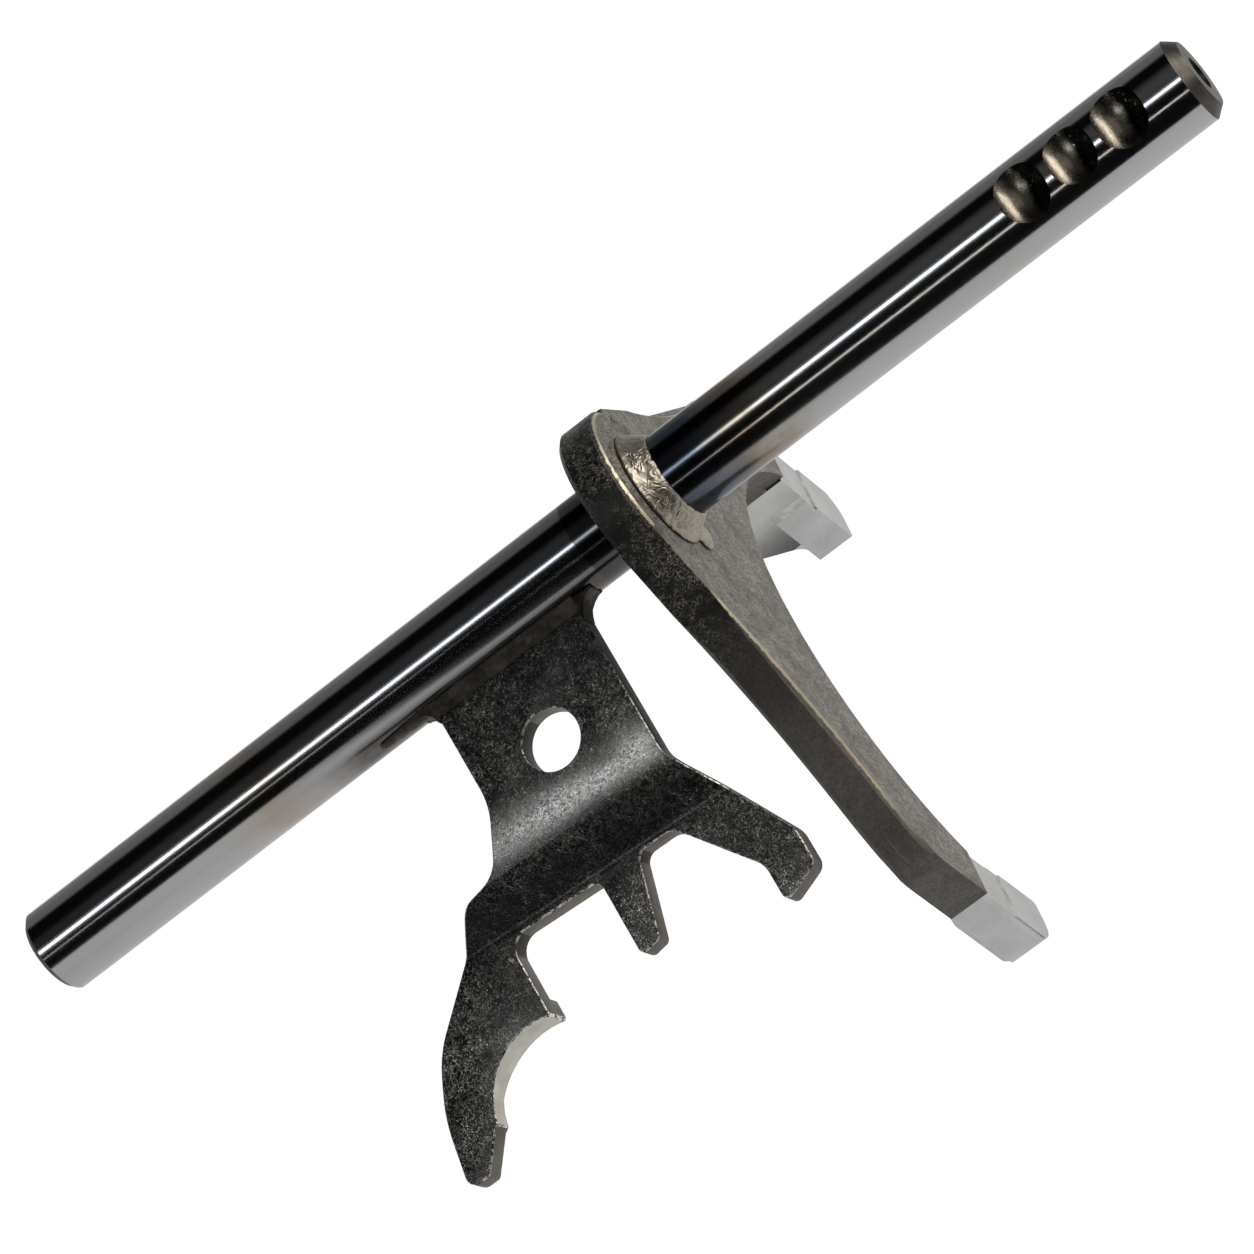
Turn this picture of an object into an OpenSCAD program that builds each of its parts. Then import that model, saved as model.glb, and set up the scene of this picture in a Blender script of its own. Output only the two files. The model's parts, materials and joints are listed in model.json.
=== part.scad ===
// Transmission shift fork: a ground shift rail with a forged fork and a forged gate plate welded to it.
// X runs along the rail towards the detent end, the prongs point down, and the origin lies on the
// rail's axis in the middle of the fork's thickness. All sizes are millimetres.

/* [Rail] */
// Diameter of the ground rail
rail_d = 16; // [12:0.5:18]
// From the middle of the fork to the plain end of the rail
plain_end = 133.1; // [110:0.5:170]
// From the middle of the fork to the detent end of the rail
detent_end = 119.4; // [90:0.5:150]
// Chamfer at the plain end
plain_chamfer = 1; // [0.4:0.1:2]
// Length of the nose chamfer at the detent end
nose_len = 2.1; // [1:0.1:4]
// Depth of the nose chamfer across the rail
nose_depth = 1.7; // [0.8:0.1:2.5]
// Mouth of the centre hole in the detent end
centre_d = 6.3; // [4:0.1:7]
// Drill of the centre hole
pilot_d = 2.5; // [1.5:0.1:3.2]
// Depth of the centre hole
pilot_depth = 7; // [6:0.5:12]
// Relief of the seat between the two journals, across the radius
seat_relief = 0.05; // [0.02:0.01:0.2]

/* [Detents] */
// Number of detent notches
detent_count = 3; // [2:1:4]
// From the detent end to the first notch
detent_inset = 14; // [10:0.5:24]
// Distance from notch to notch
detent_pitch = 10.1; // [9:0.1:13]
// Depth of a notch
detent_depth = 2.5; // [1.2:0.1:2.8]
// Radius of the wheel that cuts a notch
detent_wheel = 11; // [8:0.1:14]
// Radius of the wheel's rounded rim
detent_rim = 4.4; // [3.5:0.1:5]
// How much shallower the notches between the first and the last are
detent_ease = 0.2; // [0:0.05:0.5]
// Direction of the notches, from straight up towards the gate side
detent_turn = 25; // [0:1:60]

/* [Fork] */
// Thickness of the forging along the rail
fork_t = 7.9; // [7:0.25:11]
// Diameter of the boss around the rail
boss_d = 34; // [33:0.2:36]
// Gap between the rail and the pieces fitted to it before welding
fit_gap = 0.05; // [0:0.01:0.15]
// From the rail's axis to the axis of the sleeve that the fork holds
sleeve_drop = 87.3; // [83:0.1:91]
// Radius of the inner curve of the yoke
yoke_r = 50.6; // [49:0.1:53]
// Width of the yoke band
yoke_band = 17.2; // [14:0.1:19]
// Distance across the outside of the prongs
prong_span = 114.6; // [112:0.2:118]
// Slope of the shoulders between boss and yoke
shoulder_slope = 31.5; // [28:0.5:36]
// Radius of the hollow where a shoulder meets the yoke
shoulder_hollow = 130; // [60:1:200]
// Break along the outer edges of the forging
edge_break = 0.9; // [0.4:0.1:1.4]
// Radius of the round bottom of the channel round the weld
channel_r = 3; // [2:0.1:4]
// Radius of the channel's middle line about the rail
channel_mid = 13.5; // [13:0.1:13.7]
// Depth of the channel beside the rail
channel_depth = 0.5; // [0.2:0.1:0.7]
// Tilt of the channel, which makes it deeper above the rail
channel_tilt = 3.1; // [2:0.1:4]

/* [Prong ends] */
// From the rail's axis to the ends of the prongs
tip_drop = 93.9; // [92:0.1:100]
// Length of the machined ends
tip_len = 24.4; // [18:0.1:26]
// Thickness of the machined ends
tip_t = 7.5; // [6.5:0.1:7.8]
// Clear distance between the pads that run in the sleeve's groove
pad_gap = 93; // [88:0.2:94]
// Length of the pads
pad_len = 13; // [8:0.5:15]
// Height of the pads above the machined end
pad_step = 0.4; // [0.2:0.1:0.8]
// Length of the pad on the jaw's side
pad_in_len = 16; // [14:0.5:20]
// Height of the pads above the machined face
pad_face = 0.3; // [0.1:0.05:0.4]
// Radius at the outer corner of a prong's end
tip_round = 6; // [3:0.25:8]
// Break along the outer edges of the machined ends
tip_break = 0.8; // [0.5:0.1:1.2]

/* [Heel] */
// Reach of the heel behind the far prong
heel_reach = 8; // [5:0.1:10]
// Reach of the heel behind the near prong
heel_near = 1.6; // [0.8:0.1:3]
// Thickness of the far prong's heel, across the prong
heel_t = 4.6; // [3:0.1:6]
// Thickness of the near prong's heel
heel_near_t = 8; // [5:0.1:9]
// Slope of the heels' lower edges
heel_slope = 33; // [20:1:45]
// Radius of the cove between a heel and the end of its prong
heel_cove = 4.5; // [2:0.1:6]
// From the end of the far prong to the foot of its heel
heel_lift = 5.6; // [5:0.1:9]
// Length of the heels up the prongs
heel_len = 24; // [20:0.5:30]

/* [Gate plate] */
// Thickness of the gate plate
gate_t = 4.2; // [3.5:0.1:5]
// Angle from the fork's middle line to the gate plate
gate_turn = 73.3; // [65:0.1:80]
// From the middle of the fork to the near edge of the gate plate
gate_near = 17.9; // [15:0.1:20]
// Width of the gate plate along the rail
gate_w = 31.3; // [28:0.1:34]
// Diameter of the hole in the gate plate
gate_hole_d = 11; // [8:0.1:13]
// From the middle of the plate's width to the hole, towards the plain end
gate_hole_side = 0.1; // [-2:0.1:2]
// From the rail's axis to the hole
gate_hole_reach = 26.1; // [23:0.1:28]
// From the rail's axis to the joggle, measured along the plate
joggle_at = 40.8; // [39:0.1:43]
// Slope of the joggle against the plate
joggle_slope = 42; // [30:1:50]
// Step of the joggle to the back
joggle_step = 5; // [3:0.1:6]
// Turn of the joggle against the rail
joggle_turn = 3.5; // [0:0.1:5]
// Radius on the inside of the bends
bend_r = 2; // [1:0.1:3]

/* [Gate fingers] */
// Width of the notch between leg and tooth
notch_w = 19.2; // [16:0.1:20]
// From the rail's axis to the top of the notch
notch_top = 49.4; // [48:0.1:51]
// From the middle of the fork to the near side of the notch
notch_near = 40.3; // [39:0.1:41.5]
// From the rail's axis to the end of the tooth
tooth_reach = 65.4; // [60:0.1:70]
// Width of the tooth at its end
tooth_w = 4.2; // [3:0.1:5]
// Width of the tooth at its root
tooth_root = 8.4; // [6.5:0.1:9]
// Width of the root of the slot beside the tooth
slot_w = 7.2; // [6:0.1:8]
// From the middle of the fork to the end of the hook
hook_near = 6.2; // [5.5:0.1:8]
// From the rail's axis to the end of the hook
hook_reach = 72.8; // [70:0.1:76]
// Width of the hook
hook_w = 7.8; // [6:0.1:9]
// From the middle of the fork to the far end of the leg
leg_far = 87.2; // [85:0.1:90]
// From the rail's axis to the end of the leg
leg_reach = 81; // [79:0.1:84]
// Width of the leg's end
leg_w = 4.4; // [3.5:0.1:6]
// From the leg's end up to the end of its slanted side
leg_cut = 6; // [4:0.1:8]
// Lean of that slanted side
leg_slant = 4.8; // [3:0.1:6]
// From the leg's end up to the knee in its outer side
leg_knee = 13; // [10:0.1:15]
// From the leg's end up to its neck
leg_neck = 23; // [20:0.1:25]
// From the leg's outer side to its neck
leg_lean = 7; // [5:0.1:8.5]
// How far the plate flares out below the joggle, at the plain side
flare = 19.3; // [17:0.1:21]
// From the joggle up to the plate's waist
waist = 12; // [9:0.1:15]
// From the top of the notch to the top of the leg's hollow
hollow_drop = 14; // [13:0.1:15]
// From the notch's far side to the middle of the leg's hollow
hollow_side = 4.6; // [4:0.1:5.2]
// Radius of the hollow in the leg
hollow_r = 13.1; // [12:0.1:14]
// Width of the pad behind the leg's hollow
hollow_pad = 4; // [3:0.1:5]
// Height of that pad behind the plate
hollow_pad_t = 2.6; // [1.5:0.1:4]

/* [Welds] */
// Length of the fork's weld along the rail
bead_len = 4.7; // [3:0.1:6]
// Height of the fork's weld on the face
bead_high = 3.7; // [2.5:0.1:3.8]
// Angle left open below the rail
bead_open = 44; // [20:1:90]
// Radius of the drop at each end of the fork's weld
bead_drop = 3.6; // [2.5:0.1:4]
// Height of that drop
drop_high = 1.4; // [1:0.1:2]
// Length of the gate plate's welds up the plate
seam_leg = 2.8; // [1.5:0.1:4]
// Angle of the welds' upper edge on the rail, from the plate's middle
seam_toe = 24; // [20:0.5:32]
// Length of the front weld's tail along the rail, beyond the plate
seam_tail = 12; // [6:0.5:14]
// Leg of the concave fill at the plate's end towards the fork
fill_near = 4.2; // [2.5:0.1:5]
// Leg of the concave fill at the plate's far end
fill_far = 3.2; // [2:0.1:4.5]
// Radius of the tail where it leaves the plate
tail_r = 2.3; // [1.9:0.1:2.6]
// Radius of the tail's rounded end
tail_tip = 1.8; // [1.6:0.1:1.9]
// Depth of the tail's middle line below the rail's surface
tail_sink = 1.3; // [0.8:0.1:1.4]
// Turn of the tail about the rail, from the plate towards its front
tail_turn = 11; // [0:1:20]

/* [Hidden] */
$fn = 96;
eps = 0.01;
// Small excess that lets an arc cross the lines it runs into
nick = 0.002;
rail_r = rail_d / 2;
bore_r = rail_r + fit_gap;
seat_r = rail_r - seat_relief;
boss_r = boss_d / 2;
half_t = fork_t / 2;
yoke_out = yoke_r + yoke_band;
span_half = prong_span / 2;
pad_half = pad_gap / 2;
tip_in = pad_half + pad_step;
tip_from = tip_drop - tip_len;
pad_from = tip_drop - pad_len;
pad_in_from = tip_drop - pad_in_len;
tip_back = -half_t;
tip_face = tip_back + tip_t - pad_face;

// Shoulder line, tangent to the boss, as a point and a direction in the fork's plane
shoulder_dir = [sin(shoulder_slope), -cos(shoulder_slope)];
shoulder_out = [cos(shoulder_slope), sin(shoulder_slope)];
shoulder_start = boss_r * shoulder_out;

// Centre of the hollow that is tangent to the shoulder and to the yoke
hollow_base = shoulder_start + shoulder_hollow * shoulder_out + [0, sleeve_drop];
hollow_along = hollow_base * shoulder_dir;
hollow_reach2 = hollow_base * hollow_base - pow(yoke_out + shoulder_hollow - 20 * nick, 2);
hollow_s = -hollow_along - sqrt(hollow_along * hollow_along - hollow_reach2);
hollow_c = hollow_base + hollow_s * shoulder_dir - [0, sleeve_drop];
hollow_on_line = hollow_c - shoulder_hollow * shoulder_out;
sleeve_c = [0, -sleeve_drop];
hollow_on_yoke = sleeve_c + yoke_out * (hollow_c - sleeve_c) / norm(hollow_c - sleeve_c);

gate_far = gate_near + gate_w;
gate_mid = gate_near + gate_w / 2;
notch_far = notch_near + notch_w;
seat_from = -gate_far - seam_tail - 1.5;
seat_to = half_t + bead_len + 1;
hollow_at = [-(notch_far + hollow_side), notch_top + hollow_drop + hollow_r];

function unit(v) = v / norm(v);

// Outline through corner points [x, y, radius], listed anticlockwise, with each corner rounded by a true arc
module rounded_outline(corners) {
    n = len(corners);
    at = [for (c = corners) [c[0], c[1]]];
    function before(i) = unit(at[(i + n - 1) % n] - at[i]);
    function after(i) = unit(at[(i + 1) % n] - at[i]);
    function half(i) = acos(max(-1, min(1, before(i) * after(i)))) / 2;
    function centre(i) = at[i] + unit(before(i) + after(i)) * corners[i][2] / sin(half(i));
    function reach(i) = corners[i][2] / tan(half(i));
    function hollow(i) = cross(before(i), after(i)) > 0;
    module corner(i) {
        lift = 0.3 * unit(at[i] - centre(i));
        difference() {
            polygon([at[i] + lift, at[i] + before(i) * reach(i), centre(i), at[i] + after(i) * reach(i)]);
            translate(centre(i)) circle(r = corners[i][2] + nick);
        }
    }
    difference() {
        union() {
            polygon(at);
            for (i = [0 : n - 1]) if (corners[i][2] > 0 && hollow(i)) corner(i);
        }
        for (i = [0 : n - 1]) if (corners[i][2] > 0 && !hollow(i)) corner(i);
    }
}

// A drawing in the fork's plane, across and up, made solid along the rail
module across(from, length) {
    translate([from, 0, 0]) rotate([90, 0, 90]) linear_extrude(length) children();
}

// A profile of radius and station turned about a line along the rail, the angle counted from straight down
module turned(drop = 0, start = 0, angle = 360) {
    translate([0, 0, -drop]) rotate([0, 90, 0]) rotate([0, 0, start])
        rotate_extrude(angle = angle) children();
}

// The gate plate's own frame: along the rail, away from the rail, and to the back of the plate
module gate_frame() {
    rotate([270 - gate_turn, 0, 0]) children();
}

// The rail as turned: two ground journals with the seat of the welded pieces between them
module rail_body() {
    turned() polygon([
        [0, -plain_end], [rail_r - plain_chamfer, -plain_end], [rail_r, plain_chamfer - plain_end],
        [rail_r, seat_from], [seat_r, seat_from], [seat_r, seat_to], [rail_r, seat_to],
        [rail_r, detent_end - nose_len], [rail_r - nose_depth, detent_end], [0, detent_end]]);
}

// Rim of the milling wheel that cuts a notch, its axis along the rail
module detent_cut() {
    turned() translate([detent_wheel - detent_rim, 0]) circle(r = detent_rim);
}

function notch_at(i) = detent_end - detent_inset - i * detent_pitch;

function notch_depth(i) = detent_depth - (i > 0 && i < detent_count - 1 ? detent_ease : 0);

module shift_rail() {
    color([0.42, 0.42, 0.43]) difference() {
        rail_body();
        for (i = [0 : detent_count - 1])
            rotate([detent_turn, 0, 0])
                translate([notch_at(i), 0, rail_r - notch_depth(i) + detent_wheel]) detent_cut();
        translate([detent_end - pilot_depth, 0, 0]) rotate([0, 90, 0])
            cylinder(h = pilot_depth + 1, d = pilot_d);
        cone_len = (centre_d - pilot_d) / 2 / tan(30);
        translate([detent_end - cone_len, 0, 0]) rotate([0, 90, 0])
            cylinder(h = cone_len, d1 = pilot_d, d2 = centre_d);
    }
}

// Boss with broken edges
module fork_boss() {
    turned() polygon([
        [0, -half_t], [boss_r - edge_break, -half_t], [boss_r, edge_break - half_t],
        [boss_r, half_t - edge_break], [boss_r - edge_break, half_t], [0, half_t]]);
}

// Web from the boss down to the yoke, one half drawn and mirrored
module fork_web() {
    across(-half_t, fork_t) for (s = [0, 1]) mirror([s, 0, 0]) {
        polygon([
            [0, 0], [0, yoke_r + 6 - sleeve_drop], hollow_on_yoke * 0.985, hollow_on_line, shoulder_start]);
        difference() {
            polygon([
                hollow_on_line, hollow_on_line + [-4, -4], hollow_on_yoke + [-4, -3],
                hollow_on_yoke, hollow_c]);
            translate(hollow_c) circle(r = shoulder_hollow + nick);
        }
    }
}

// Break along a shoulder's two outer edges and along its hollow
module shoulder_break() {
    for (s = [0, 1]) mirror([0, s, 0]) for (f = [0, 1]) mirror([f, 0, 0]) {
        translate([half_t, shoulder_start[0], shoulder_start[1]])
            rotate([shoulder_slope, 0, 0]) rotate([0, 0, 45])
                translate([-edge_break / sqrt(2), -edge_break * 2, -norm(hollow_on_line - shoulder_start)])
                    translate([edge_break * sqrt(2) - edge_break / sqrt(2), 0, 0])
                        cube([edge_break * 2, edge_break * 4, norm(hollow_on_line - shoulder_start)]);
        translate([half_t - edge_break, hollow_c[0], hollow_c[1]]) rotate([0, 90, 0])
            cylinder(
                h = edge_break + eps, r1 = shoulder_hollow + nick, r2 = shoulder_hollow + edge_break + eps);
    }
}

// Yoke band about the sleeve's axis
module yoke_band_ring() {
    turned(sleeve_drop, 90, 180) polygon([
        [yoke_r, -half_t], [yoke_out - edge_break, -half_t], [yoke_out, edge_break - half_t],
        [yoke_out, half_t - edge_break], [yoke_out - edge_break, half_t], [yoke_r, half_t]]);
}

// Heel behind a prong, flush with its inner side, with a cove above the prong's end
module heel(reach, thick, flat) {
    back = -tip_back - 0.1;
    top = half_t + reach;
    foot = heel_lift * reach / heel_reach - tip_drop;
    rise = (top - back) * tan(heel_slope);
    head = foot + rise + heel_len;
    translate([0, tip_in + thick, 0]) rotate([90, 0, 0]) linear_extrude(thick) mirror([1, 0, 0])
        rounded_outline([
            [0, 1 - tip_drop, 0], [back, 1 - tip_drop, 0], [back, foot, heel_cove * reach / heel_reach],
            [top, foot + rise, 2], [top, foot + rise + heel_len * flat, 5], [back, head, 0], [0, head, 0]]);
}

// Machined end of one prong, with the pad that runs in the sleeve's groove
module prong_end() {
    difference() {
        union() {
            across(tip_back, tip_face - tip_back) rounded_outline([
                [tip_in, -tip_from, 0], [tip_in, pad_step - pad_in_from, 0], [pad_half, -pad_in_from, 0],
                [pad_half, -tip_drop, 1], [span_half, -tip_drop, tip_round], [span_half, -tip_from, 0]]);
            across(tip_back, tip_t) rounded_outline([
                [pad_half, -pad_from, 0.5], [pad_half, -tip_drop, 1], [span_half, -tip_drop, tip_round],
                [span_half, -pad_from, 0]]);
        }
        for (e = [[tip_back, tip_break * 0.35], [tip_face, tip_break]])
            translate([e[0], span_half, -tip_drop - 1]) rotate([0, 0, 45])
                translate(-e[1] / sqrt(2) * [1, 1, 0]) cube([e[1] * sqrt(2), e[1] * sqrt(2), tip_len + 1]);
    }
}

// Channel in the detent face between the weld and the rim of the boss, tilted so that it fades out below
module channel() {
    rotate([0, -channel_tilt, 0]) turned()
        translate([channel_mid, half_t + channel_r - channel_depth]) circle(r = channel_r);
}

module shift_fork() {
    color([0.44, 0.42, 0.39]) difference() {
        union() {
            fork_boss();
            difference() {
                union() {
                    fork_web();
                    yoke_band_ring();
                }
                shoulder_break();
                turned(sleeve_drop) square([yoke_r, fork_t * 2], center = false);
                translate([-fork_t, -prong_span, -tip_drop - yoke_out])
                    cube([fork_t * 2, prong_span * 2, yoke_out + tip_len]);
                for (s = [0, 1]) mirror([0, s, 0]) translate([-fork_t, span_half, -tip_drop - yoke_out])
                    cube([fork_t * 2, yoke_out, 2 * yoke_out]);
            }
            heel(heel_reach, heel_t, 0.3);
            mirror([0, 1, 0]) heel(heel_near, heel_near_t, 0.7);
            for (s = [0, 1]) mirror([0, s, 0]) prong_end();
        }
        turned() translate([0, -fork_t]) square([bore_r, 2 * fork_t]);
        channel();
    }
}

// The gate plate's outline, along the rail and away from it
module gate_outline() {
    difference() {
        rounded_outline([
            [-gate_far, 3, 0], [-gate_near, 3, 0], [-gate_near, joggle_at - 0.8, 6],
            [-hook_near, hook_reach - 9.5, 5], [-hook_near, hook_reach - 2.4, 2.2],
            [-hook_near - hook_w, hook_reach + 0.4, 1.2], [-hook_near - hook_w, hook_reach - 7.4, 5],
            [slot_w + tooth_root - notch_near, notch_top + 0.8, 3],
            [tooth_root - notch_near, notch_top + 0.6, 2.2],
            [tooth_w - notch_near, tooth_reach - 0.6, 1.2], [-notch_near, tooth_reach, 1.2],
            [-notch_near, notch_top + 0.5, 1.8], [-notch_far, notch_top - 0.7, 3.6],
            [-notch_far, notch_top + hollow_drop + 0.4, 0],
            [-leg_far + leg_w + leg_slant, leg_reach - leg_cut, 0],
            [-leg_far + leg_w, leg_reach, 1], [-leg_far, leg_reach, 2],
            [-leg_far + leg_w / 2, leg_reach - leg_knee, 30], [-leg_far + leg_lean, leg_reach - leg_neck, 20],
            [-gate_far - flare, notch_top - 1.9, 6], [-gate_far - flare * 0.637, joggle_at + 0.1, 5],
            [-gate_far - flare * 0.269, joggle_at - 1, 6], [-gate_far + 0.2, joggle_at - waist, 14]]);
        translate(hollow_at) circle(r = hollow_r);
    }
}

// Points on an arc, from one angle to another
function arc(centre, r, from, to) =
    [for (i = [0 : 5]) centre + r * [cos(from + (to - from) * i / 5), sin(from + (to - from) * i / 5)]];

// Side view of the joggled plate: away from the rail, and to the back
module gate_side() {
    h = gate_t / 2;
    b = bend_r;
    run = (2 * b + gate_t + (joggle_step - gate_t - 2 * b) * cos(joggle_slope)) / sin(joggle_slope);
    upper = [joggle_at, h + b];
    lower = [joggle_at + run, joggle_step - h - b];
    far = leg_reach + 5 * gate_t;
    polygon(concat(
        [[0, -h]], arc(upper, b + gate_t, -90, joggle_slope - 90), arc(lower, b, joggle_slope + 90, 90),
        [[far, joggle_step - h], [far, joggle_step + h]],
        arc(lower, b + gate_t, 90, joggle_slope + 90), arc(upper, b, joggle_slope - 90, -90), [[0, h]]));
}

module gate_body() {
    difference() {
        union() {
            intersection() {
                translate([0, 0, -gate_t]) linear_extrude(gate_t * 2 + joggle_step) gate_outline();
                translate([-gate_mid, 0, 0]) rotate([0, 0, joggle_turn]) translate([-leg_far, 0, 0])
                    rotate([90, 0, 90]) linear_extrude(leg_far * 2) gate_side();
            }
            difference() {
                translate([0, 0, joggle_step + gate_t / 2 - eps]) linear_extrude(hollow_pad_t + eps)
                    intersection() {
                        gate_outline();
                        translate(hollow_at) circle(r = hollow_r + hollow_pad);
                    }
                translate([-2 * leg_far, hollow_at[1] - hollow_r / 2, joggle_step + gate_t / 2])
                    rotate([-atan(2 * hollow_pad_t / hollow_r), 0, 0])
                        translate([0, -leg_far, 0]) cube([2 * leg_far, 2 * leg_far, leg_far]);
            }
        }
        translate([-gate_mid - gate_hole_side, gate_hole_reach, -gate_t])
            cylinder(h = 2 * gate_t, d = gate_hole_d);
    }
}

module gate_plate() {
    color([0.16, 0.155, 0.15]) difference() {
        gate_frame() gate_body();
        turned() translate([0, -plain_end]) square([bore_r, plain_end + detent_end]);
    }
}

// Fillet weld round the rail on the fork's detent side, open below, with a drop at each end
module fork_weld() {
    foot = rail_r + bead_high;
    drop_r = (bead_drop * bead_drop + drop_high * drop_high) / (2 * drop_high);
    color([0.5, 0.46, 0.38]) {
        turned(0, bead_open / 2, 360 - bead_open) polygon([
            [seat_r, half_t], [seat_r, half_t + bead_len],
            [rail_r + bead_high * 0.16, half_t + bead_len * 0.86],
            [rail_r + bead_high * 0.42, half_t + bead_len * 0.55],
            [rail_r + bead_high * 0.7, half_t + bead_len * 0.24], [foot, half_t]]);
        for (s = [-1, 1]) rotate([s * bead_open / 2, 0, 0])
            translate([half_t, 0, -rail_r - bead_drop - 0.3]) rotate([0, 90, 0]) rotate_extrude()
                intersection() {
                    translate([0, drop_high - drop_r]) circle(r = drop_r);
                    square(bead_drop);
                }
    }
}

// Section of a weld seam along the gate plate: away from the rail, and out from the plate's face
module seam_section() {
    polygon([
        [rail_r * 0.8, gate_t / 2], [rail_r + seam_leg, gate_t / 2],
        [rail_r + seam_leg * 0.35, gate_t / 2 + 0.7],
        seat_r * [cos(seam_toe), sin(seam_toe)], rail_r * 0.8 * [cos(seam_toe), sin(seam_toe)]]);
}

// The rail's seat, cut out of the welds that lie on it
module rail_seat() {
    translate([-plain_end, 0, 0]) rotate([0, 90, 0]) cylinder(h = plain_end, r = seat_r);
}

// Concave fill between an end of the plate and the rail, through the plate's thickness
module end_fill(leg, lean) {
    translate([0, 0, -gate_t / 2]) linear_extrude(gate_t + seam_leg * 0.18)
        polygon(concat(
            [[-lean * (rail_r - 6), rail_r - 3], [leg, rail_r - 3]],
            arc([leg + 0.15, rail_r + leg + 0.15], leg, 268, 182),
            [[-lean * (rail_r + leg - 3), rail_r + leg]]));
}

// Tail of the front seam, a tapering lump with a rounded end that lies along the rail
module seam_tail_lump() {
    straight = seam_tail - tail_sink;
    rotate([tail_turn, 0, 0]) translate([0, rail_r - tail_sink, 0]) rotate([0, 90, 0]) rotate_extrude() {
        polygon([[0, 0], [tail_r, 0], [tail_tip, straight], [0, straight]]);
        intersection() {
            translate([0, straight]) circle(r = tail_tip);
            translate([0, straight]) square(2 * tail_tip);
        }
    }
}

// Seam along the front of the gate plate, filled in at both ends, with a tail along the rail
module front_seam() {
    color([0.25, 0.23, 0.2]) gate_frame() mirror([0, 0, 1]) difference() {
        union() {
            translate([-gate_far - 0.5, 0, 0]) rotate([90, 0, 90]) linear_extrude(gate_w + 1) seam_section();
            translate([-gate_far, 0, 0]) mirror([1, 0, 0]) {
                end_fill(fill_far, 0.2 / (joggle_at - waist - 3));
                seam_tail_lump();
            }
            translate([-gate_near, 0, 0]) end_fill(fill_near, 0);
        }
        rail_seat();
    }
}

// Seam along the back of the gate plate
module back_seam() {
    color([0.25, 0.23, 0.2]) gate_frame() difference() {
        translate([-gate_far, 0, 0]) rotate([90, 0, 90]) linear_extrude(gate_w) seam_section();
        rail_seat();
    }
}

shift_rail();
shift_fork();
gate_plate();
fork_weld();
front_seam();
back_seam();
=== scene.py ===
import json
import math

import bpy
from mathutils import Matrix, Vector

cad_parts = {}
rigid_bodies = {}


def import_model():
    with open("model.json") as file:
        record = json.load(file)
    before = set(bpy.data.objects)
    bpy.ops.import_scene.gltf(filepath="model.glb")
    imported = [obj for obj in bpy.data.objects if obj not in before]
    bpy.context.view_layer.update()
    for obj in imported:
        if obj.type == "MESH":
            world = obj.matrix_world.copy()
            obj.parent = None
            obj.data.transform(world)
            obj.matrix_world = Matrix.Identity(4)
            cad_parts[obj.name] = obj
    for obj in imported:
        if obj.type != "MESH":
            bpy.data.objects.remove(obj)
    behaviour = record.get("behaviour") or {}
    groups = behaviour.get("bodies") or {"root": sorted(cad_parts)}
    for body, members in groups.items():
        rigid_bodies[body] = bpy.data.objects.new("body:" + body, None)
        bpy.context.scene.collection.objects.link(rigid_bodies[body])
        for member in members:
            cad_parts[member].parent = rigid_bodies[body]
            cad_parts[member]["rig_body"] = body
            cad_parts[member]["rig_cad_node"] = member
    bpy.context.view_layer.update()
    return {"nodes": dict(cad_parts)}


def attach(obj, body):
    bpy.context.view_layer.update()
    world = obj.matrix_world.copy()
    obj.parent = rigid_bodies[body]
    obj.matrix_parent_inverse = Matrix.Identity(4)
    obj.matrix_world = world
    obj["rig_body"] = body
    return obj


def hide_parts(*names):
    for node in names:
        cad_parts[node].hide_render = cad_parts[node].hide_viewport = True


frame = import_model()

# Shift rail. A round steel bar, turned and centre-drilled at one end, hardened and ground bright.
# Three detent notches are milled into it near the drilled end with a round-rimmed wheel. The heat of the
# welds has coloured the steel beside the fork and beside the gate plate, and a band under and just behind
# the fork is painted dark as painted shade.
RAIL_R = 0.008
PLAIN_END, DETENT_END = -0.1331, 0.1194
PLAIN_CHAMFER = 0.001
NOSE_LEN, NOSE_DEPTH = 0.0021, 0.0017
CENTRE_R, PILOT_R, PILOT_DEEP = 0.00315, 0.00125, 0.007
CENTRE_SLOPE = math.radians(30)
NOTCH_OUTER, NOTCH_PITCH, NOTCH_REACH = 0.1054, 0.0101, 0.006
NOTCH_DEEP = (0.0031, 0.0027, 0.0030)
NOTCH_TURN = math.radians(25)
WHEEL_R, WHEEL_RIM = 0.011, 0.0049
FACING, END_SLOPE = 0.9, 0.3


def let_go():
    """Nothing selected, ready for the next piece."""
    bpy.ops.object.select_all(action="DESELECT")


def hold(piece):
    """Only this piece selected, and active."""
    let_go()
    piece.select_set(True)
    bpy.context.view_layer.objects.active = piece


def pick_faces(piece, wanted):
    """In edit mode, only the faces that wanted(face) says yes to are selected."""
    bpy.ops.object.mode_set(mode="OBJECT")
    for edge in piece.data.edges:
        edge.select = False
    for vert in piece.data.vertices:
        vert.select = False
    for face in piece.data.polygons:
        face.select = bool(wanted(face))
    bpy.ops.object.mode_set(mode="EDIT")
    bpy.ops.mesh.select_mode(type="FACE")


def apply_all(piece):
    """Applies every modifier on the piece, in order."""
    hold(piece)
    for modifier in list(piece.modifiers):
        bpy.ops.object.modifier_apply(modifier=modifier.name)


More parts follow.
